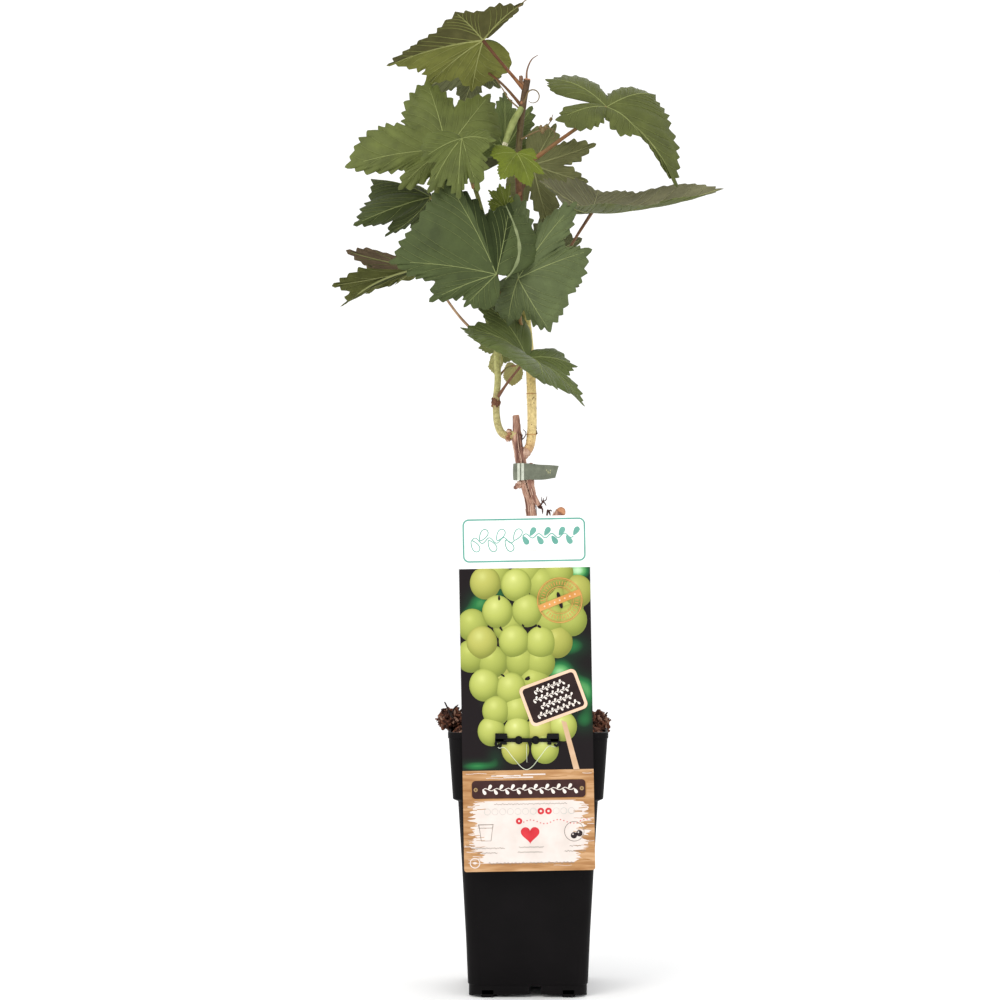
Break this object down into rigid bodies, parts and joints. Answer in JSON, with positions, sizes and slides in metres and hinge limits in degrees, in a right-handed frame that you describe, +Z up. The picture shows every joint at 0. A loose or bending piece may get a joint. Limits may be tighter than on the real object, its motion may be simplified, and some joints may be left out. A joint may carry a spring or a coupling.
{
  "type": "potted grapevine",
  "caption": "Young grapevine in a deep square nursery pot: woody trunk tied to upright canes, broad lobed leaves on thin stalks, and a picture label clipped over the rim.",
  "frame": {"origin": "centre of the pot's underside, on the ground", "axes": "+Z up along the trunk, -Y towards the front that carries the label, +X to the right as the front is seen"},
  "size_m": [0.3133, 0.1668, 0.8119],
  "materials": {
    "pot": "moulded black plastic, satin",
    "card": "printed plastic card, glossy",
    "clip": "black plastic, satin",
    "tie": "grey-green soft plastic strip",
    "soil": "loose dark bark compost",
    "bark": "fibrous reddish-brown bark",
    "young_cane": "green-tan young wood, smooth",
    "straw_cane": "straw-coloured young wood, faintly striped",
    "leaf_stalk": "reddish to pale green, smooth",
    "leaf": "matt green leaf blade with pale veins",
    "leaf_pale": "young yellow-green leaf blade"
  },
  "bodies": {
    "root": {"pot": "pot", "label_card": "card", "label_clip": "clip", "soil": "soil", "trunk": "bark", "tie_band": "tie", "pruned_spur": "bark", "shoot_left": "young_cane", "shoot_right": "straw_cane", "side_shoot": "young_cane", "foliage_top": "leaf", "foliage_upper_left": "leaf", "foliage_hanging": "leaf", "foliage_behind_tip": "leaf", "foliage_young_front": "leaf_pale", "foliage_young_cupped": "leaf_pale", "foliage_upper_right": "leaf", "foliage_right": "leaf", "foliage_far_right": "leaf", "foliage_left": "leaf", "foliage_lower_left": "leaf", "foliage_centre": "leaf", "foliage_centre_right": "leaf", "foliage_lowest": "leaf", "foliage_small_left": "leaf_pale", "foliage_small_right": "leaf_pale", "foliage_back_upper": "leaf", "foliage_back_left": "leaf", "foliage_back_right": "leaf", "foliage_back_low": "leaf_pale", "foliage_back_top": "leaf", "stalk_top": "leaf_stalk", "stalk_upper_left": "leaf_stalk", "stalk_hanging": "leaf_stalk", "stalk_behind_tip": "leaf_stalk", "stalk_young_front": "leaf_stalk", "stalk_young_cupped": "leaf_stalk", "stalk_upper_right": "leaf_stalk", "stalk_right": "leaf_stalk", "stalk_far_right": "leaf_stalk", "stalk_left": "leaf_stalk", "stalk_lower_left": "leaf_stalk", "stalk_centre": "leaf_stalk", "stalk_centre_right": "leaf_stalk", "stalk_lowest": "leaf_stalk", "stalk_small_left": "leaf_stalk", "stalk_small_right": "leaf_stalk", "stalk_back_upper": "leaf_stalk", "stalk_back_left": "leaf_stalk", "stalk_back_right": "leaf_stalk", "stalk_back_low": "leaf_stalk", "stalk_back_top": "leaf_stalk"}
  },
  "joints": []
}
